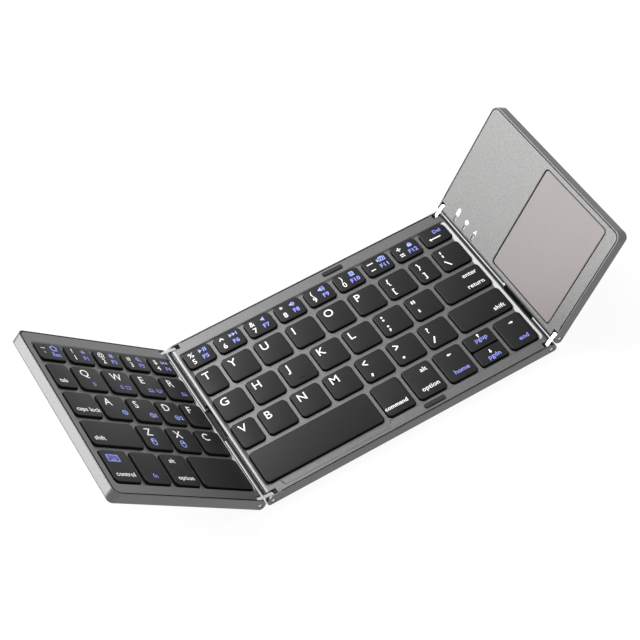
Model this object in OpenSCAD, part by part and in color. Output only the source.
// Folding keyboard: a middle panel and two wings, joined by two-pin links.
// Millimetres. The middle panel lies on z = 0 with its centre at the origin,
// x runs along the keyboard and y to the back. The wings stand half folded.

/* [Keys] */
// Width of a letter key
letter_w = 14.85; // [12:0.05:18]
// Depth of a letter key
letter_d = 14.55; // [12:0.05:18]
// Depth of the keys in the number row
number_d = 10.25; // [8:0.05:13]
// Depth of the keys in the front row
front_d = 18.3; // [14:0.05:22]
// Width of the small keys in the front row
front_w = 14.45; // [12:0.05:17]
// Width of the enter key
enter_w = 24.4; // [20:0.05:30]
// Width of the tab key
tab_w = 11.3; // [9:0.05:18]
// Width of the two slim letter keys beside the left hinge
slim_w = 12.75; // [11:0.05:16]
// Width of the closing bracket key
bracket_w = 10.9; // [9:0.05:14]
// Gap between neighbouring keys in a row
key_gap = 2.15; // [2:0.05:4]
// Gap between two rows
row_gap = 2.7; // [2:0.05:5]
// Gap between the two half-depth arrow keys
arrow_gap = 0.6; // [0.4:0.05:1.5]
// Corner radius of a key
key_r = 2; // [1:0.1:3]
// Corner radius of the half-depth arrow keys
arrow_r = 1.2; // [0.6:0.1:2]
// Height of a key's top above the deck's flat strips
key_rise = 0.3; // [0.1:0.05:0.35]
// Travel of a key
key_travel = 1.1; // [0.8:0.05:1.2]
// Gap between a key and the edge of its hole
hole_gap = 0.3; // [0.2:0.05:0.5]
// Width of the lip under the deck that keeps a key in
key_lip = 0.4; // [0.3:0.05:0.6]

/* [Panels] */
// Middle panel, key field to hinge axis
middle_margin = 1.4; // [1.2:0.1:6]
// Left wing, key field to hinge axis
left_margin = 0.7; // [0.5:0.1:6]
// Left wing, key field to outer end
outer_margin = 4.9; // [4:0.1:12]
// Strip behind the key field
back_strip = 7.75; // [7.5:0.05:14]
// Strip in front of the key field
front_strip = 7.2; // [7:0.05:14]
// Thickness of a panel
panel_t = 5.6; // [5.4:0.1:7]
// Gap between the two wings when they lie closed on the middle panel
closed_gap = 1.1; // [0.6:0.1:4]
// Plan radius of the wings' outer corners
corner_r = 4; // [2:0.1:7]
// Rounding of the lower outer edges
edge_r = 0.8; // [0.3:0.1:1]
// Small bevel on the rim's upper edge
rim_bevel = 0.2; // [0.05:0.05:0.3]

/* [Trays and decks] */
// Floor thickness of a tray
floor_t = 0.8; // [0.6:0.05:1.2]
// Thickness of the rim that shows round a deck
rim_w = 0.65; // [0.5:0.05:1]
// Parting groove between rim and deck
groove_w = 0.3; // [0.2:0.05:0.5]
// Thickness of a deck at its strips
deck_t = 1.7; // [1.5:0.05:2.2]
// Depth of the dish that holds the keys
dish_depth = 0.9; // [0.5:0.05:1]
// Width of the dish's slope at the front, back and outer end
dish_slope = 0.8; // [0.3:0.05:1.4]
// Flat left between the front keys and the slope
dish_flat = 0.2; // [0.1:0.05:1]
// Width of the dish's soft slope beside a hinge
dish_soft = 1.9; // [0.5:0.05:3]
// Plan radius of the dish's corners
dish_r = 2.4; // [1:0.1:4]
// How far a deck reaches past the hinge axis
deck_over = 1.1; // [0.5:0.05:1.6]
// Thickness of the flat part of the right deck
right_deck_t = 0.9; // [0.7:0.05:1.4]

/* [Thumb scoop] */
// Left end of the scoop in front of the long key, from the field's left edge
scoop_start = 5.9; // [3:0.1:20]
// Right end of the scoop, past the long key's right end
scoop_past = 1.5; // [-10:0.1:3]
// Strip left between the scoop and the front face
scoop_wall = 2.5; // [2.2:0.1:5]
// Radius of the scoop's flowing ends
scoop_r = 1.7; // [1:0.1:3]

/* [Hinges] */
// Gap between the two noses of a hinge
nose_gap = 1; // [0.6:0.05:3]
// Thickness of a link
link_t = 1.6; // [1.2:0.05:3]
// How far a link's rounded end lies inside the panel's thickness
link_inset = 0.35; // [0.2:0.05:0.9]
// Radius of a hinge pin
pin_r = 0.9; // [0.6:0.05:1.2]
// Running clearance of a link on its pins, on the radius
pin_play = 0.05; // [0.02:0.01:0.09]
// Thickness of the end wall that carries a pin's outer end
end_wall = 0.9; // [0.8:0.05:2]
// Thickness of the ear that carries a pin's inner end
ear_t = 1; // [0.8:0.05:1.5]
// Thickness of the flat washer between link and end wall
washer_t = 0.3; // [0.2:0.05:0.6]
// Thickness of the spring washer between link and ear
spring_t = 0.65; // [0.3:0.05:1]
// Outer radius of a washer
washer_r = 2.1; // [1.6:0.05:2.3]
// Side play on each side of a washer
side_play = 0.05; // [0.03:0.01:0.1]
// Length of the notch inward of the hinge axis
notch_l = 3.2; // [2.8:0.1:5]
// Tilt of the left links above the table
left_link_deg = 10.4; // [0:0.1:90]
// Tilt of the left wing above the table
left_fold_deg = 45.3; // [12:0.1:100]
// Tilt of the right links above the table
right_link_deg = 48.8; // [0:0.1:90]
// Tilt of the right wing above the table
right_fold_deg = 56.9; // [50:0.1:138]

/* [Cable windows] */
// Width of the left cable's window
left_window_w = 20.4; // [10:0.1:40]
// Centre of the left window, from the panel's middle
left_window_y = 0.2; // [-10:0.1:10]
// Width of the right cable's window
right_window_w = 24; // [10:0.1:40]
// Centre of the right window, from the panel's middle
right_window_y = -18.5; // [-20:0.1:10]
// Thickness of a flat cable
cable_t = 0.25; // [0.15:0.05:0.4]
// Room between a cable's edge and its window
cable_room = 0.6; // [0.3:0.1:1.5]

/* [Touchpad and lamps] */
// Touchpad, hinge axis to its near edge
pad_in = 1.9; // [1.6:0.1:8]
// Touchpad, far edge to the wing's outer end
pad_out = 3.8; // [3.4:0.1:9]
// Touchpad, front edge to the panel's front
pad_front = 8.1; // [7.8:0.1:14]
// Depth of the touchpad
pad_d = 44.6; // [35:0.1:50]
// Corner radius of the touchpad
pad_r = 1.7; // [1:0.1:4]
// Gap round the touchpad
pad_gap = 0.35; // [0.25:0.05:0.6]
// How far the touchpad lies below the deck
pad_sink = 0.15; // [0:0.05:0.4]
// Bevel on the touchpad's edge and on its opening
pad_bevel = 0.3; // [0.1:0.05:0.4]
// Thickness of the touchpad plate
pad_t = 1; // [0.8:0.05:1.3]
// Thickness of a circuit board
board_t = 0.7; // [0.5:0.05:0.8]
// Lamp window, along the wing
lamp_w = 2.5; // [1.5:0.1:4]
// Lamp window, across the wing
lamp_d = 1.7; // [1:0.1:3]
// Lamp window, hinge axis to its near edge
lamp_in = 0.6; // [0.4:0.1:4]
// Rearmost lamp window, to the panel's back face
lamp_back = 13.1; // [10:0.1:16]
// Distance from one lamp window to the next
lamp_step = 7.4; // [6:0.1:9]
// How far a lamp's light guide lies below the deck
lamp_sink = 0.35; // [0.1:0.05:0.6]

/* [Small parts] */
// Length of a rubber bumper
bumper_l = 11; // [8:0.1:16]
// Width of a rubber bumper
bumper_w = 2.3; // [1.6:0.1:3]
// Height of a bumper above the deck
bumper_rise = 0.6; // [0.2:0.05:0.9]
// Depth of the bumper's seat in the deck
bumper_seat = 0.5; // [0.3:0.05:0.6]
// Strip centre line, from a panel's front or back face
strip_line = 3.55; // [3.4:0.05:5]
// Radius of a closing magnet
magnet_r = 1.8; // [1:0.05:1.9]
// Height of a closing magnet
magnet_h = 2; // [1:0.05:2.2]
// Radius of a case screw's shank
screw_r = 0.8; // [0.6:0.05:1]
// Radius of a case screw's head
screw_head_r = 1.5; // [1.2:0.05:1.6]
// Radius of a screw boss
boss_r = 1.75; // [1.6:0.05:1.9]
// Case screws nearest a hinge, from the hinge axis
screw_end = 10.2; // [8:0.1:16]
// Case screws nearest a wing's outer end, from that end
screw_far = 12; // [9:0.1:20]
// Middle panel's inner case screws, from the line where the closed wings meet
screw_inner = 30; // [16:0.5:40]
// Length of the battery, along the wing
battery_l = 42; // [30:0.5:46]
// Width of the battery
battery_w = 27; // [20:0.5:28]
// Thickness of the battery
battery_t = 2.7; // [2:0.05:2.9]
// Charging socket, width of its shell
socket_w = 7.6; // [7:0.1:9]
// Charging socket, height of its shell
socket_h = 2.7; // [2.4:0.05:2.8]
// Charging socket, centre from the hinge axis
socket_at = 30; // [25:0.5:33]

/* [Hidden] */
$fn = 64;

// running clearances and fits
lip_play = 0.1;
foot_room = 0.55;
pin_fit = 0.02;
screw_fit = 0.05;
head_fit = 0.06;
bumper_fit = 0.05;
socket_fit = 0.2;
lamp_fit = 0.1;

// sheets under the keys
sheet_t = 0.25;
film_t = 0.5;

// heights in a panel, from its underside
axis_z = panel_t/2;
link_l = panel_t + nose_gap;
link_r = axis_z - link_inset;
deck_z = panel_t - deck_t;
dish_z = panel_t - dish_depth;
key_top = panel_t + key_rise;
lip_top = deck_z - lip_play;
dome_z = floor_t + film_t;
key_foot = dome_z + sheet_t + key_travel + foot_room;
dome_top = key_foot - lip_play;
dome_r = 3;
cap_roof = 1.2;
cap_wall = 0.9;
plunger_r = 1.7;
lip = hole_gap + key_lip;
// rounding of a key's top edge: inward from its outline, down from its top
CAP_EDGE = [[0.15, 0.4], [0.2, 0.18], [0.3, 0.05], [0.42, 0]];

// panel sizes; seven letter keys and enter fill the middle field, four and tab the left one
key_pitch = letter_w + key_gap;
front_pitch = front_w + key_gap;
slim_pitch = slim_w + key_gap;
middle_field = 7*key_pitch + enter_w;
left_field = 4*key_pitch + tab_w;
field_d = number_d + 3*letter_d + front_d + 4*row_gap;
panel_d = field_d + back_strip + front_strip;
half_d = panel_d/2;
middle_l = middle_field + 2*middle_margin;
left_l = left_field + left_margin + outer_margin;
right_l = middle_l - left_l - closed_gap;
strip_y = half_d - strip_line;

// from a hinge axis inward to the inner face of its nose
room = lip + 0.2;
middle_nose = middle_margin - room;
left_nose = left_margin - room;
right_nose = 0.5;

// hinge stack, from the panel's middle plane outward
notch_out = half_d - end_wall;
washer_out = notch_out - side_play;
link_out = washer_out - washer_t - side_play;
link_in = link_out - link_t;
spring_out = link_in - side_play;
notch_in = spring_out - spring_t - side_play;
ear_in = notch_in - ear_t;
pin_tip = 0.08;
pin_bevel = 0.15;
// ring recess round a pin's outer end
ring_w = 0.45;
ring_depth = 0.2;

// half of the inner room between ears and bosses, for boards and battery
inner_d = min(ear_in - 0.4, strip_y - boss_r - 0.05);

// rows, from the back: [back edge, depth]
field_back = half_d - back_strip;
dish_back = field_back + hole_gap + dish_slope;
dish_front = field_back - field_d - hole_gap - dish_flat - dish_slope;
// how far the dish's slope runs outward in the 1 mm above the deck's face
slope_past = dish_slope/dish_depth;
function row_depth(i) = i == 0 ? number_d : i == 4 ? front_d : letter_d;
function row_back(i) = field_back - (i == 0 ? 0 : number_d + row_gap + (i - 1)*(letter_d + row_gap));

// number keys share out each field's width
function share(field, n) = (field + key_gap)/n - key_gap;
middle_number_w = share(middle_field, 9);
left_number_w = share(left_field, 5);
field_x = -middle_field/2;

// widths that are left over beside the hinges and the outer ends
narrow_w = enter_w - bracket_w - key_gap;
shift_right_w = middle_field - narrow_w - key_gap - 6*key_pitch;
space_w = middle_field - 5*front_pitch;
caps_w = left_field - 2*slim_pitch - 2*key_pitch;
shift_left_w = left_field - 3*key_pitch;
space_left_w = left_field - 3*front_pitch;

// a key is [x of its left edge, y of its front edge, width, depth]
function key(x, row, w) = [x, row_back(row) - row_depth(row), w, row_depth(row)];
function run(x, row, w, n) = [for (i = [0:n - 1]) key(x + i*(w + key_gap), row, w)];
second_x = field_x + narrow_w + key_gap;
bracket_x = second_x + 6*key_pitch;
arrows_x = field_x + middle_field - 2*front_w - key_gap;
half_arrow = (front_d - arrow_gap)/2;
arrow_y = row_back(4) - front_d;

K_5_EQUALS = run(field_x, 0, middle_number_w, 8);
K_BACKSPACE = [key(field_x + 8*(middle_number_w + key_gap), 0, middle_number_w)];
K_T_BRACKET = concat([key(field_x, 1, narrow_w)], run(second_x, 1, letter_w, 6),
    [key(bracket_x, 1, bracket_w)]);
K_BACKSLASH = [key(bracket_x + bracket_w + key_gap, 1, letter_w)];
K_G_QUOTE = run(field_x, 2, letter_w, 7);
K_ENTER = [key(field_x + 7*key_pitch, 2, enter_w)];
K_V_SLASH = concat([key(field_x, 3, narrow_w)], run(second_x, 3, letter_w, 6));
K_SHIFT_RIGHT = [key(second_x + 6*key_pitch, 3, shift_right_w)];
K_SPACE = [key(field_x, 4, space_w)];
K_COMMAND = [key(field_x + space_w + key_gap, 4, front_w)];
K_OPTION_RIGHT = [key(field_x + space_w + key_gap + front_pitch, 4, front_w)];
K_LEFT = [key(field_x + space_w + key_gap + 2*front_pitch, 4, front_w)];
K_UP = [arrows_x, arrow_y + half_arrow + arrow_gap, front_w, half_arrow];
K_DOWN = [arrows_x, arrow_y, front_w, half_arrow];
K_RIGHT = [key(field_x + middle_field - front_w, 4, front_w)];
ARROW_HOLE = key(arrows_x, 4, front_w);
MIDDLE_KEYS = concat(K_5_EQUALS, K_BACKSPACE, K_T_BRACKET, K_BACKSLASH, K_G_QUOTE, K_ENTER,
    K_V_SLASH, K_SHIFT_RIGHT, K_SPACE, K_COMMAND, K_OPTION_RIGHT, K_LEFT, K_RIGHT);

// the left wing's keys are counted outward from its hinge axis
K_1_4 = run(left_margin, 0, left_number_w, 5);
K_Q_R = run(left_margin, 1, letter_w, 4);
K_TAB = [key(left_margin + 4*key_pitch, 1, tab_w)];
K_A_F = concat(run(left_margin, 2, slim_w, 2), run(left_margin + 2*slim_pitch, 2, letter_w, 2));
K_CAPS_LOCK = [key(left_margin + 2*slim_pitch + 2*key_pitch, 2, caps_w)];
K_Z_C = run(left_margin, 3, letter_w, 3);
K_SHIFT_LEFT = [key(left_margin + 3*key_pitch, 3, shift_left_w)];
K_SPACE_LEFT = [key(left_margin, 4, space_left_w)];
K_OPTION_LEFT = [key(left_margin + space_left_w + key_gap, 4, front_w)];
K_FN = [key(left_margin + space_left_w + key_gap + front_pitch, 4, front_w)];
K_CONTROL = [key(left_margin + left_field - front_w, 4, front_w)];
LEFT_KEYS = concat(K_1_4, K_Q_R, K_TAB, K_A_F, K_CAPS_LOCK, K_Z_C, K_SHIFT_LEFT,
    K_SPACE_LEFT, K_OPTION_LEFT, K_FN, K_CONTROL);

// where the closed wings meet over the middle panel
meet_x = left_l - middle_l/2 + closed_gap/2;
magnet_back = corner_r - 0.4;
LEFT_MAGNETS = [for (s = [-1, 1]) [left_l - magnet_back, s*strip_y]];
RIGHT_MAGNETS = [for (s = [-1, 1]) [right_l - magnet_back, s*strip_y]];
MIDDLE_MAGNETS = [for (s = [-1, 1], d = [-1, 1])
    [meet_x + d*(magnet_back + closed_gap/2), s*strip_y]];

// case screws, [x, y] in each panel
function screw_row(xs) = [for (x = xs, s = [-1, 1]) [x, s*strip_y]];
MIDDLE_SCREWS = screw_row([screw_end - middle_l/2, meet_x - screw_inner, meet_x + screw_inner,
    middle_l/2 - screw_end]);
LEFT_SCREWS = screw_row([screw_end, left_l/2, left_l - screw_far]);
RIGHT_SCREWS = screw_row([screw_end, right_l - screw_far]);
screw_tip = deck_z + 0.5;
// cross slot in a screw's head
slot_l = 1.5;
slot_w = 0.3;
slot_depth = 0.4;

grey = [0.45, 0.45, 0.46];
dark_grey = [0.33, 0.33, 0.34];
black = [0.09, 0.09, 0.1];
steel = [0.85, 0.85, 0.87];
board_green = [0.1, 0.32, 0.2];

// ---------- placing ----------

function left_axis() = [-middle_l/2 - link_l*cos(left_link_deg), axis_z + link_l*sin(left_link_deg)];
function right_axis() = [middle_l/2 + link_l*cos(right_link_deg), axis_z + link_l*sin(right_link_deg)];

module on_left() {
    translate([left_axis()[0], 0, left_axis()[1]])
        rotate([0, left_fold_deg, 0])
            mirror([1, 0, 0])
                translate([0, 0, -axis_z])
                    children();
}

module on_right() {
    translate([right_axis()[0], 0, right_axis()[1]])
        rotate([0, -right_fold_deg, 0])
            translate([0, 0, -axis_z])
                children();
}

// a hinge end of the middle panel, seen as a wing's: panel towards +x
module at_middle_end(side) {
    if (side < 0) translate([-middle_l/2, 0, 0]) children();
    else translate([middle_l/2, 0, 0]) mirror([1, 0, 0]) children();
}

module front_and_back() {
    children();
    mirror([0, 1, 0]) children();
}

// profile in x and z, drawn out along y
module along_y(len) {
    rotate([90, 0, 0]) linear_extrude(len, center = true) children();
}

// profile in y and z, drawn out along x
module along_x(len) {
    rotate([90, 0, 90]) linear_extrude(len, center = true) children();
}

module slab(z0, z1) {
    translate([0, 0, z0]) linear_extrude(z1 - z0) children();
}

// ---------- plan outlines ----------

module round_rect(w, d, r) {
    square([w - 2*r, d], center = true);
    square([w, d - 2*r], center = true);
    for (x = [-1, 1], y = [-1, 1]) translate([x*(w/2 - r), y*(d/2 - r)]) circle(r);
}

// rectangle from x0 to x1, its far end rounded, both sides inset by i
module tongue(x0, x1, i, r) {
    d = panel_d - 2*i;
    translate([x0, -d/2]) square([x1 - r - x0, d]);
    translate([x1 - 2*r, -d/2 + r]) square([2*r, d - 2*r]);
    for (y = [-1, 1]) translate([x1 - r, y*(d/2 - r)]) circle(r);
}

module box2(x0, x1, y0, y1) {
    translate([x0, y0]) square([x1 - x0, y1 - y0]);
}

module key_hole_2d(k, r) {
    translate([k[0] + k[2]/2, k[1] + k[3]/2])
        round_rect(k[2] + 2*hole_gap, k[3] + 2*hole_gap, r + hole_gap);
}

// ---------- panel forms ----------

// rounded nose round a hinge axis, its lower corner bevelled
module nose_2d() {
    b = 0.45*axis_z;
    circle(axis_z);
    polygon([[0, 0], [-axis_z, 0], [-axis_z, -b], [-b, -axis_z], [0, -axis_z]]);
}

module outer_end_2d(l) {
    translate([l - edge_r, edge_r]) circle(edge_r);
    polygon([[0, 0], [l - edge_r, 0], [l - edge_r, edge_r], [l, edge_r],
        [l, panel_t - rim_bevel], [l - rim_bevel, panel_t], [0, panel_t]]);
}

module wing_side_2d(l) {
    translate([0, axis_z]) nose_2d();
    outer_end_2d(l);
}

module middle_side_2d() {
    translate([-middle_l/2, 0]) square([middle_l, panel_t]);
    for (s = [-1, 1]) scale([s, 1]) translate([-middle_l/2, axis_z]) nose_2d();
}

module depth_2d() {
    h = half_d;
    for (s = [-1, 1]) translate([s*(h - edge_r), edge_r]) circle(edge_r);
    polygon([[-h + edge_r, 0], [h - edge_r, 0], [h - edge_r, edge_r], [h, edge_r],
        [h, panel_t - rim_bevel], [h - rim_bevel, panel_t], [-h + rim_bevel, panel_t],
        [-h, panel_t - rim_bevel], [-h, edge_r], [-h + edge_r, edge_r]]);
}

module wing_form(l) {
    intersection() {
        slab(-1, panel_t + 1) tongue(-axis_z - 1, l, 0, corner_r);
        along_y(panel_d + 2) wing_side_2d(l);
        along_x(3*l) depth_2d();
    }
}

module middle_form() {
    intersection() {
        along_y(panel_d + 2) middle_side_2d();
        along_x(2*middle_l) depth_2d();
    }
}

// ---------- hinge ends, panel towards +x, axis over x = 0 ----------

// nose bar and the two ear blocks, left standing by the tray's cavity
module hinge_end_2d(nose) {
    box2(-axis_z - 1, nose, -half_d, half_d);
    front_and_back() box2(-axis_z - 1, notch_l + ear_t, ear_in, half_d);
}

// the deck's room near a hinge end: past the axis, but not over the end walls
module end_wall_2d() {
    front_and_back() box2(-axis_z - 2, notch_l, notch_out, half_d + 1);
}

module hinge_end_cuts(window_y, window_w, nose) {
    front_and_back() {
        // notch for the link
        slab(-1, panel_t + 1) box2(-axis_z - 1, notch_l, notch_in, notch_out);
        // pin seat in end wall and ear, with a ring recess outside
        translate([0, half_d + 1, axis_z]) rotate([90, 0, 0])
            cylinder(r = pin_r + pin_fit, h = half_d + 2 - ear_in);
        translate([0, half_d + 1, axis_z]) rotate([90, 0, 0])
            cylinder(r = pin_r + ring_w, h = 1 + ring_depth);
    }
    // cable window
    y0 = window_y - window_w/2;
    slab(-1, panel_t + 1) box2(-axis_z - 1, -deck_over, y0, y0 + window_w);
    slab(floor_t, deck_z + 0.01) box2(-axis_z - 1, nose + 1, y0, y0 + window_w);
}

// the pin's tip lies just inside the panel's end face
module pin() {
    translate([0, half_d - pin_tip, axis_z]) rotate([90, 0, 0]) {
        cylinder(r1 = pin_r - pin_bevel, r2 = pin_r, h = pin_bevel);
        translate([0, 0, pin_bevel])
            cylinder(r = pin_r, h = half_d - ear_in - pin_tip - pin_bevel);
    }
}

module pin_pair() {
    color(steel) front_and_back() pin();
}

// ---------- screws and bosses ----------

module bosses(places) {
    for (p = places) translate([p[0], p[1], 0]) cylinder(r = boss_r, h = deck_z);
}

module screw_holes(places) {
    for (p = places) translate([p[0], p[1], -0.01]) {
        cylinder(r = screw_r + screw_fit, h = screw_tip + 0.1);
        cylinder(r1 = screw_head_r + head_fit, r2 = screw_r + screw_fit, h = screw_head_r - screw_r + 0.02);
    }
}

module screws(places) {
    color(steel) for (p = places) translate([p[0], p[1], 0.02]) difference() {
        union() {
            cylinder(r = screw_r, h = screw_tip - 0.1);
            cylinder(r1 = screw_head_r, r2 = screw_r, h = screw_head_r - screw_r);
        }
        for (a = [0, 90]) rotate(a) translate([-slot_l/2, -slot_w/2, -1])
            cube([slot_l, slot_w, 1 + slot_depth]);
    }
}

// ---------- trays ----------

module middle_tray() {
    color(grey) difference() {
        intersection() {
            middle_form();
            union() {
                slab(-1, floor_t) square([2*middle_l, 2*panel_d], center = true);
                slab(-1, panel_t + 1) difference() {
                    square([2*middle_l, 2*panel_d], center = true);
                    square([2*middle_l, panel_d - 2*rim_w], center = true);
                }
                for (s = [-1, 1]) at_middle_end(s) slab(-1, panel_t + 1) hinge_end_2d(middle_nose);
                bosses(MIDDLE_SCREWS);
            }
        }
        slab(deck_z, panel_t + 1) difference() {
            square([middle_l + 2*(deck_over + groove_w), panel_d - 2*rim_w], center = true);
            for (s = [-1, 1]) at_middle_end(s) end_wall_2d();
        }
        at_middle_end(-1) hinge_end_cuts(left_window_y, left_window_w, middle_nose);
        at_middle_end(1) hinge_end_cuts(right_window_y, right_window_w, middle_nose);
        screw_holes(MIDDLE_SCREWS);
    }
}

module wing_tray(l, nose, window_y, window_w, screw_places) {
    difference() {
        intersection() {
            wing_form(l);
            union() {
                slab(-1, floor_t) tongue(-axis_z - 1, l + 1, -1, corner_r);
                slab(-1, panel_t + 1) difference() {
                    tongue(-axis_z - 1, l + 1, -1, corner_r);
                    tongue(-axis_z - 2, l - rim_w, rim_w, corner_r - rim_w);
                }
                slab(-1, panel_t + 1) hinge_end_2d(nose);
                bosses(screw_places);
                children();
            }
        }
        slab(deck_z, panel_t + 1) difference() {
            tongue(-deck_over - groove_w, l - rim_w, rim_w, corner_r - rim_w);
            end_wall_2d();
        }
        hinge_end_cuts(window_y, window_w, nose);
        screw_holes(screw_places);
    }
}

module left_tray() {
    color(grey) on_left()
        wing_tray(left_l, left_nose, left_window_y, left_window_w, LEFT_SCREWS);
}

// four posts carry the touchpad, and its board lies on them
post_in = 9.8;
post_r = 2.2;
pad_mid = [(pad_in + right_l - pad_out)/2, -half_d + pad_front + pad_d/2];
pad_w = right_l - pad_in - pad_out;
pad_top = panel_t - pad_sink;
pad_board_z = pad_top - pad_t - board_t;
socket_z = (floor_t + deck_z)/2;

module right_tray() {
    color(grey) on_right() difference() {
        wing_tray(right_l, right_nose, right_window_y, right_window_w, RIGHT_SCREWS) {
            for (x = [-1, 1], y = [-1, 1])
                translate([pad_mid[0] + x*(pad_w/2 - post_in), pad_mid[1] + y*(pad_d/2 - post_in), 0])
                    cylinder(r = post_r, h = pad_board_z);
        }
        translate([socket_at, half_d, socket_z]) rotate([90, 0, 0])
            linear_extrude(2*(half_d - ear_in), center = true)
                round_rect(socket_w + 2*socket_fit, socket_h + 1.5*socket_fit, 0.9);
    }
}

// ---------- decks ----------

// dish with sloping sides: steep at front, back and outer end, soft beside a hinge
module dish(x0, x1, soft0, soft1) {
    top = panel_t + 1;
    k0 = soft0/dish_depth;
    k1 = soft1/dish_depth;
    k = slope_past;
    intersection() {
        along_y(panel_d) polygon([[x0, panel_t], [x0 + soft0, dish_z], [x1 - soft1, dish_z],
            [x1, panel_t], [x1 + k1, top], [x0 - k0, top]]);
        along_x(4*middle_l) polygon([[dish_front, panel_t], [dish_front + dish_slope, dish_z],
            [dish_back - dish_slope, dish_z], [dish_back, panel_t], [dish_back + k, top],
            [dish_front - k, top]]);
        slab(0, top) translate([(x0 + x1)/2, (dish_front + dish_back)/2])
            round_rect(x1 - x0, dish_back - dish_front, dish_r);
    }
}

// sloping side from x = 0 at the deck's face to the dish's floor, and up past the face
function slope_2d(x, side, far) = [[x - side*slope_past, panel_t + 1], [x, panel_t],
    [x + side*dish_slope, dish_z], [far, dish_z], [far, panel_t + 1]];

// shallow scoop in the front strip, for the thumb on the long key
module scoop() {
    x0 = field_x + scoop_start;
    x1 = field_x + space_w + scoop_past;
    mid = (x0 + x1)/2;
    y0 = scoop_wall - half_d;
    y1 = dish_front;
    foot = y1 + dish_slope + 0.1;
    r = min(scoop_r, (y1 - y0)/2);
    translate([mid, 0, 0]) along_x(x1 - x0 - 2*r) polygon(slope_2d(y0, 1, foot));
    translate([0, (y0 + r + foot)/2, 0]) along_y(foot - y0 - r) {
        polygon(slope_2d(x0, 1, mid));
        polygon(slope_2d(x1, -1, mid));
    }
    for (x = [x0 + r, x1 - r]) translate([x, y0 + r, dish_z])
        cylinder(r1 = r - dish_slope, r2 = r + slope_past, h = dish_depth + 1);
    // flowing ends, where the scoop opens into the dish
    for (m = [[x0, 1], [x1, -1]]) translate([m[0], y1 - r, dish_z]) scale([m[1], 1, 1]) difference() {
        translate([-r, 0, 0]) cube([r + dish_slope, r + dish_slope + 0.1, dish_depth + 1]);
        translate([-r, 0, 0]) cylinder(r1 = r + dish_slope, r2 = r - slope_past, h = dish_depth + 1);
    }
}

module deck_corners_2d() {
    front_and_back() box2(-axis_z - 2, notch_l, notch_in, half_d + 1);
}

module middle_deck() {
    color(grey) difference() {
        intersection() {
            middle_form();
            slab(deck_z, panel_t + 1) difference() {
                square([middle_l + 2*deck_over, panel_d - 2*rim_w - 2*groove_w], center = true);
                for (s = [-1, 1]) at_middle_end(s) deck_corners_2d();
            }
        }
        dish(-middle_l/2, middle_l/2, dish_soft, dish_soft);
        scoop();
        for (k = MIDDLE_KEYS) slab(0, panel_t + 1) key_hole_2d(k, key_r);
        slab(0, panel_t + 1) key_hole_2d(ARROW_HOLE, arrow_r);
        for (s = [-1, 1]) translate([meet_x, s*strip_y, 0])
            slab(panel_t - bumper_seat, panel_t + 1)
                round_rect(bumper_l + 2*bumper_fit, bumper_w + 2*bumper_fit, bumper_r + bumper_fit);
        screw_holes(MIDDLE_SCREWS);
    }
}

module left_deck() {
    color(grey) on_left() difference() {
        intersection() {
            wing_form(left_l);
            slab(deck_z, panel_t + 1) difference() {
                tongue(-deck_over, left_l - rim_w - groove_w, rim_w + groove_w,
                    corner_r - rim_w - groove_w);
                deck_corners_2d();
            }
        }
        dish(0, left_margin + left_field + hole_gap + dish_slope, min(dish_soft, left_margin), dish_slope);
        for (k = LEFT_KEYS) slab(0, panel_t + 1) key_hole_2d(k, key_r);
        screw_holes(LEFT_SCREWS);
    }
}

lamp_foot = 0.4;
function lamp_y(i) = half_d - lamp_back - i*lamp_step;

// window of a lamp in the right deck, larger by grow
module lamp_plan(i, grow) {
    translate([lamp_in + lamp_w/2, lamp_y(i)])
        square([lamp_w + 2*grow, lamp_d + 2*grow], center = true);
}

module right_deck() {
    thin_z = panel_t - right_deck_t;
    color(grey) on_right() difference() {
        intersection() {
            wing_form(right_l);
            slab(deck_z, panel_t + 1) difference() {
                tongue(-deck_over, right_l - rim_w - groove_w, rim_w + groove_w,
                    corner_r - rim_w - groove_w);
                deck_corners_2d();
            }
        }
        // thin between the strips, and open round the touchpad
        slab(0, thin_z) box2(-axis_z - 1, right_l - corner_r, -inner_d, inner_d);
        slab(0, panel_t + 1) translate(pad_mid)
            round_rect(pad_w + 2*pad_gap, pad_d + 2*pad_gap, pad_r + pad_gap);
        translate([0, 0, panel_t - pad_bevel])
            pad_bevel_solid(pad_gap, pad_bevel + 0.2, pad_bevel + 0.2);
        for (i = [0:2]) slab(0, panel_t + 1) lamp_plan(i, 0);
        screw_holes(RIGHT_SCREWS);
    }
}

// frustum on the touchpad's outline: at the foot larger than the plate by gap,
// at the top by grow more, or less where grow is negative
module pad_bevel_solid(gap, grow, h) {
    w = pad_w/2 + gap;
    d = pad_d/2 + gap;
    r = pad_r + gap;
    translate(pad_mid) {
        rotate([90, 0, 0]) linear_extrude(2*(d - r), center = true)
            polygon([[-w, 0], [w, 0], [w + grow, h], [-w - grow, h]]);
        rotate([90, 0, 90]) linear_extrude(2*(w - r), center = true)
            polygon([[-d, 0], [d, 0], [d + grow, h], [-d - grow, h]]);
        for (x = [-1, 1], y = [-1, 1]) translate([x*(w - r), y*(d - r), 0])
            cylinder(r1 = r, r2 = r + grow, h = h);
    }
}

// ---------- keys ----------

// side of a key: upright in its hole, drawn in and rounded off above the dish
module key_side_2d(w) {
    a = w/2;
    right = [for (e = CAP_EDGE) [a - e[0], key_top - e[1]]];
    left = [for (i = [len(CAP_EDGE) - 1:-1:0]) [CAP_EDGE[i][0] - a, key_top - CAP_EDGE[i][1]]];
    polygon(concat([[-a, key_foot], [a, key_foot], [a, dish_z + 0.1]], right, left,
        [[-a, dish_z + 0.1]]));
}

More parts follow.
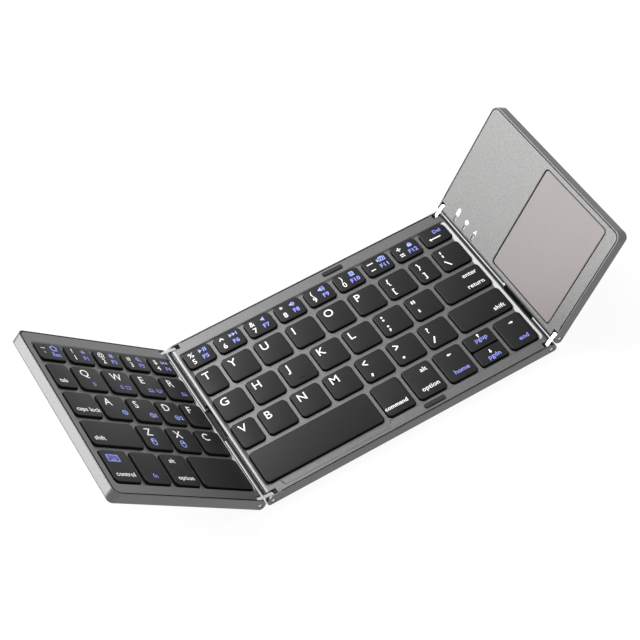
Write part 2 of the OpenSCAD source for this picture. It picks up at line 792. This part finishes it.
// back and front are the widths of the lip on those two sides
module cap(k, r, back, front) {
    w = k[2];
    d = k[3];
    translate([k[0] + w/2, k[1] + d/2, 0]) {
        difference() {
            intersection() {
                slab(0, key_top + 1) round_rect(w, d, r);
                along_y(d + 2) key_side_2d(w);
                along_x(w + 2) key_side_2d(d);
            }
            slab(0, key_top - cap_roof) cap_hollow_2d(w, d);
        }
        // lip that stays under the deck
        slab(key_foot, lip_top) difference() {
            translate([0, (back - front)/2]) round_rect(w + 2*lip, d + back + front, r);
            cap_hollow_2d(w, d);
        }
        // plunger over the dome
        translate([0, 0, key_foot])
            cylinder(r = plunger_r, h = key_top - cap_roof - key_foot + 0.1);
    }
}

module cap_hollow_2d(w, d) {
    square([w - 2*cap_wall, d - 2*cap_wall], center = true);
}

module caps(keys) {
    color(black) for (k = keys) cap(k, key_r, lip, lip);
}

// ---------- boards and domes ----------

module switch_board(x0, x1) {
    color(board_green) slab(floor_t, floor_t + film_t) box2(x0, x1, -inner_d, inner_d);
}

// the sheet leaves the boards' ends free for the cables' plugs
module domes(x0, x1, keys) {
    color(dark_grey) {
        slab(dome_z, dome_z + sheet_t) box2(x0, x1, -inner_d, inner_d);
        for (k = keys) translate([k[0] + k[2]/2, k[1] + k[3]/2, dome_z])
            cylinder(r1 = dome_r, r2 = plunger_r + 0.2, h = dome_top - dome_z);
    }
}

left_cable_w = left_window_w - 2*cable_room;
right_cable_w = right_window_w - 2*cable_room;
cable_hold = 1.2;
plug_l = 2;
plug_h = 0.7;
sheet_in = cable_hold + plug_l + 0.2;
middle_in = middle_l/2 - middle_nose - 0.2;
left_in = max(left_nose, 0) + 0.2;
left_out = left_l - rim_w - 0.4;

// socket for a flat cable, beside a hinge; the cable's end meets its outer face
module cable_plug(y, w, z) {
    color(dark_grey) slab(z, z + plug_h)
        box2(cable_hold, cable_hold + plug_l, y - w/2 - 0.5, y + w/2 + 0.5);
}

module middle_board() {
    switch_board(-middle_in, middle_in);
    at_middle_end(-1) cable_plug(left_window_y, left_cable_w, dome_z);
    at_middle_end(1) cable_plug(right_window_y, right_cable_w, dome_z);
}

module left_board() {
    on_left() {
        switch_board(left_in, left_out);
        cable_plug(left_window_y, left_cable_w, dome_z);
    }
}

module middle_domes() {
    domes(-middle_l/2 + sheet_in, middle_l/2 - sheet_in, concat(MIDDLE_KEYS, [K_UP, K_DOWN]));
}

module left_domes() { on_left() domes(sheet_in, left_out, LEFT_KEYS); }

// ---------- magnets, bumpers, screws, pins ----------

module magnets(places) {
    color(steel) for (p = places) translate([p[0], p[1], deck_z - magnet_h])
        cylinder(r = magnet_r, h = magnet_h);
}

module middle_magnets() { magnets(MIDDLE_MAGNETS); }
module left_magnets() { on_left() magnets(LEFT_MAGNETS); }
module right_magnets() { on_right() magnets(RIGHT_MAGNETS); }

bumper_step = 0.15;
bumper_r = bumper_w/2 - 0.05;

module bumpers() {
    color(dark_grey) for (s = [-1, 1]) translate([meet_x, s*strip_y, 0]) {
        slab(panel_t - bumper_seat, panel_t + bumper_rise - bumper_step)
            round_rect(bumper_l, bumper_w, bumper_r);
        slab(panel_t - bumper_seat, panel_t + bumper_rise)
            round_rect(bumper_l - 2*bumper_step, bumper_w - 2*bumper_step, bumper_r - bumper_step);
    }
}

module middle_screws() { screws(MIDDLE_SCREWS); }
module left_screws() { on_left() screws(LEFT_SCREWS); }
module right_screws() { on_right() screws(RIGHT_SCREWS); }
module left_inner_pins() { at_middle_end(-1) pin_pair(); }
module right_inner_pins() { at_middle_end(1) pin_pair(); }
module left_outer_pins() { on_left() pin_pair(); }
module right_outer_pins() { on_right() pin_pair(); }

// ---------- links and washers ----------

// front and back link, along +x from the middle panel's pins to the wing's pins
module link_pair() {
    for (s = [-1, 1]) translate([0, s*(link_in + link_t/2), 0]) along_y(link_t) difference() {
        union() {
            for (x = [0, link_l]) translate([x, 0]) circle(link_r);
            translate([0, -link_r]) square([link_l, 2*link_r]);
        }
        for (x = [0, link_l]) translate([x, 0]) circle(pin_r + pin_play);
    }
}

// washers on both pins of the front and back link: flat outside, spring inside
module washer_set() {
    for (s = [-1, 1], x = [0, link_l]) {
        translate([x, s*(washer_out - washer_t/2), 0]) washer(washer_t);
        translate([x, s*(spring_out - spring_t/2), 0]) washer(spring_t);
    }
}

module washer(t) {
    along_y(t) difference() {
        circle(min(link_r, washer_r));
        circle(pin_r + pin_play);
    }
}

module on_links(side, deg) {
    translate([side*middle_l/2, 0, axis_z]) rotate([0, side < 0 ? deg : -deg, 0])
        scale([side, 1, 1]) children();
}

module left_links() { color(steel) on_links(-1, left_link_deg) link_pair(); }
module right_links() { color(steel) on_links(1, right_link_deg) link_pair(); }
module left_washers() { color(steel) on_links(-1, left_link_deg) washer_set(); }
module right_washers() { color(steel) on_links(1, right_link_deg) washer_set(); }

// ---------- flat cables ----------

// cubic curve from a to b with handles p and q
function bez(a, p, q, b, t) = pow(1 - t, 3)*a + 3*pow(1 - t, 2)*t*p + 3*(1 - t)*t*t*q + pow(t, 3)*b;
function curve(a, p, q, b, n) = [for (i = [0:n]) bez(a, p, q, b, i/n)];
function unit(v) = v/norm(v);
function normal_at(c, i) = let (d = unit(c[min(i + 1, len(c) - 1)] - c[max(i - 1, 0)])) [-d[1], d[0]];

// band of even thickness along a line of points in x and z
module band(c, t) {
    polygon(concat([for (i = [0:len(c) - 1]) c[i] + normal_at(c, i)*t/2],
        [for (i = [len(c) - 1:-1:0]) c[i] - normal_at(c, i)*t/2]));
}

cable_steps = 16;
cable_lead = 0.3;

// from inside the middle panel, round the gap, and into the wing's window;
// side is -1 for the left hinge and 1 for the right, tilt is the wing's,
// and z is its height in the wing
module flat_cable(side, axis, tilt, y, w, z) {
    away = [side*cos(tilt), sin(tilt)];
    up = [-side*sin(tilt), cos(tilt)];
    start = [side*(middle_l/2 - cable_hold), dome_z + plug_h/2];
    end = axis + cable_hold*away + (z - axis_z)*up;
    reach = 0.5*link_l - cable_lead;
    a = start + [side*cable_lead, 0];
    b = end - cable_lead*away;
    bend = curve(a, a + [side*reach, 0], b - reach*away, b, cable_steps);
    translate([0, y, 0]) along_y(w) band(concat([start], bend, [end]), cable_t);
}

module left_cable() {
    color(black) flat_cable(-1, left_axis(), left_fold_deg, left_window_y, left_cable_w,
        dome_z + plug_h/2);
}

module right_cable() {
    color(black) flat_cable(1, right_axis(), right_fold_deg, right_window_y, right_cable_w,
        board_z + board_t + plug_h/2);
}

// ---------- right wing's inner parts ----------

chip_h = 0.8;
tall_chip_h = 1;
board_z = floor_t + chip_h;
board_in = right_nose + 0.5;
lane = 8.5;
back_lane = 8;
lane_end = right_nose + lane;
battery_back = inner_d - back_lane;
battery_room = 1.5;
battery_r = 1.2;
stand_r = 1;
stand_in = 2;
radio = [4.2, 7];
radio_at = [lane_end - 0.5 - radio[0], 14];
controller = [8, 5];
controller_at = [14, battery_back + 1.6];
charger = [3, 2];
charger_at = [socket_at - 14, inner_d - 1 - charger[1]];
pad_board_in = 1.5;
pad_chip = 6;

module touchpad() {
    color([0.72, 0.68, 0.67]) on_right() {
        slab(pad_top - pad_t, pad_top - pad_bevel) translate(pad_mid)
            round_rect(pad_w, pad_d, pad_r);
        translate([0, 0, pad_top - pad_bevel]) pad_bevel_solid(0, -pad_bevel, pad_bevel);
    }
}

module touchpad_board() {
    color(board_green) on_right() {
        slab(pad_board_z, pad_board_z + board_t) translate(pad_mid) round_rect(pad_w - 2*pad_board_in,
            pad_d - 2*pad_board_in, 1);
        // chip on its underside
        slab(pad_board_z - chip_h, pad_board_z) translate(pad_mid) square(pad_chip, center = true);
    }
}

// lane beside the hinge for the lamps, and a lane along the back for the socket
module control_board() {
    front = right_window_y - right_window_w/2;
    color(board_green) on_right() {
        slab(board_z, board_z + board_t) {
            box2(board_in, lane_end, front, inner_d);
            box2(board_in, socket_at + socket_w/2 + 2, battery_back + 0.6, inner_d);
        }
        cable_plug(right_window_y, right_cable_w, board_z + board_t);
        for (y = [front + 3, inner_d - 4]) translate([lane_end - stand_in, y, floor_t])
            cylinder(r = stand_r, h = board_z - floor_t);
        slab(floor_t, board_z) translate(charger_at) square(charger);
        slab(board_z + board_t, board_z + board_t + tall_chip_h) {
            translate(radio_at) square(radio);
            translate(controller_at) square(controller);
        }
    }
}

module battery() {
    l = min(battery_l, right_l - corner_r - lane_end - 2*battery_room);
    color([0.6, 0.6, 0.62]) on_right() slab(floor_t, floor_t + battery_t)
        translate([lane_end + battery_room + l/2, battery_back - battery_w/2])
            round_rect(l, battery_w, battery_r);
}

module light_guides() {
    color([0.95, 0.95, 0.92]) on_right() for (i = [0:2]) {
        slab(board_z + board_t, panel_t - lamp_sink) lamp_plan(i, -lamp_fit);
        // foot under the deck
        slab(board_z + board_t, panel_t - right_deck_t - lamp_fit)
            translate([lamp_foot, 0]) lamp_plan(i, lamp_foot);
    }
}

// open shell with a contact tongue, its mouth in the back wall
shell_t = 0.3;
shell_back = 0.6;
shell_sink = 0.1;
tongue_t = 0.6;
tongue_side = 1.5;
tongue_in = 1.2;

module charge_socket() {
    deep = half_d - shell_sink - inner_d - 0.2;
    color(steel) on_right() translate([socket_at, half_d - shell_sink, socket_z]) rotate([90, 0, 0]) {
        linear_extrude(deep) difference() {
            round_rect(socket_w, socket_h, 0.8);
            round_rect(socket_w - 2*shell_t, socket_h - 2*shell_t, 0.5);
        }
        translate([0, 0, deep - shell_back]) linear_extrude(shell_back)
            round_rect(socket_w - shell_t, socket_h - shell_t, 0.6);
        translate([tongue_side - socket_w/2, -tongue_t/2, tongue_in])
            cube([socket_w - 2*tongue_side, tongue_t, deep - tongue_in - shell_t]);
    }
}

// ---------- keys by node ----------

module keys_1_4() { on_left() caps(K_1_4); }
module key_tab() { on_left() caps(K_TAB); }
module keys_q_r() { on_left() caps(K_Q_R); }
module key_caps_lock() { on_left() caps(K_CAPS_LOCK); }
module keys_a_f() { on_left() caps(K_A_F); }
module key_shift_left() { on_left() caps(K_SHIFT_LEFT); }
module keys_z_c() { on_left() caps(K_Z_C); }
module key_control() { on_left() caps(K_CONTROL); }
module key_fn() { on_left() caps(K_FN); }
module key_option_left() { on_left() caps(K_OPTION_LEFT); }
module key_space_left() { on_left() caps(K_SPACE_LEFT); }
module keys_5_equals() { caps(K_5_EQUALS); }
module key_backspace() { caps(K_BACKSPACE); }
module keys_t_bracket() { caps(K_T_BRACKET); }
module key_backslash() { caps(K_BACKSLASH); }
module keys_g_quote() { caps(K_G_QUOTE); }
module key_enter() { caps(K_ENTER); }
module keys_v_slash() { caps(K_V_SLASH); }
module key_shift_right() { caps(K_SHIFT_RIGHT); }
module key_space() { caps(K_SPACE); }
module key_command() { caps(K_COMMAND); }
module key_option_right() { caps(K_OPTION_RIGHT); }
module key_left() { caps(K_LEFT); }
module key_up() { color(black) cap(K_UP, arrow_r, lip, 0); }
module key_down() { color(black) cap(K_DOWN, arrow_r, 0, lip); }
module key_right() { caps(K_RIGHT); }

middle_tray();
middle_deck();
middle_board();
middle_domes();
middle_magnets();
bumpers();
middle_screws();
left_inner_pins();
right_inner_pins();
left_links();
left_washers();
right_links();
right_washers();
left_cable();
right_cable();
left_tray();
left_deck();
left_board();
left_domes();
left_magnets();
left_screws();
left_outer_pins();
right_tray();
right_deck();
touchpad();
touchpad_board();
control_board();
battery();
light_guides();
charge_socket();
right_magnets();
right_screws();
right_outer_pins();
keys_1_4();
key_tab();
keys_q_r();
key_caps_lock();
keys_a_f();
key_shift_left();
keys_z_c();
key_control();
key_fn();
key_option_left();
key_space_left();
keys_5_equals();
key_backspace();
keys_t_bracket();
key_backslash();
keys_g_quote();
key_enter();
keys_v_slash();
key_shift_right();
key_space();
key_command();
key_option_right();
key_left();
key_up();
key_down();
key_right();
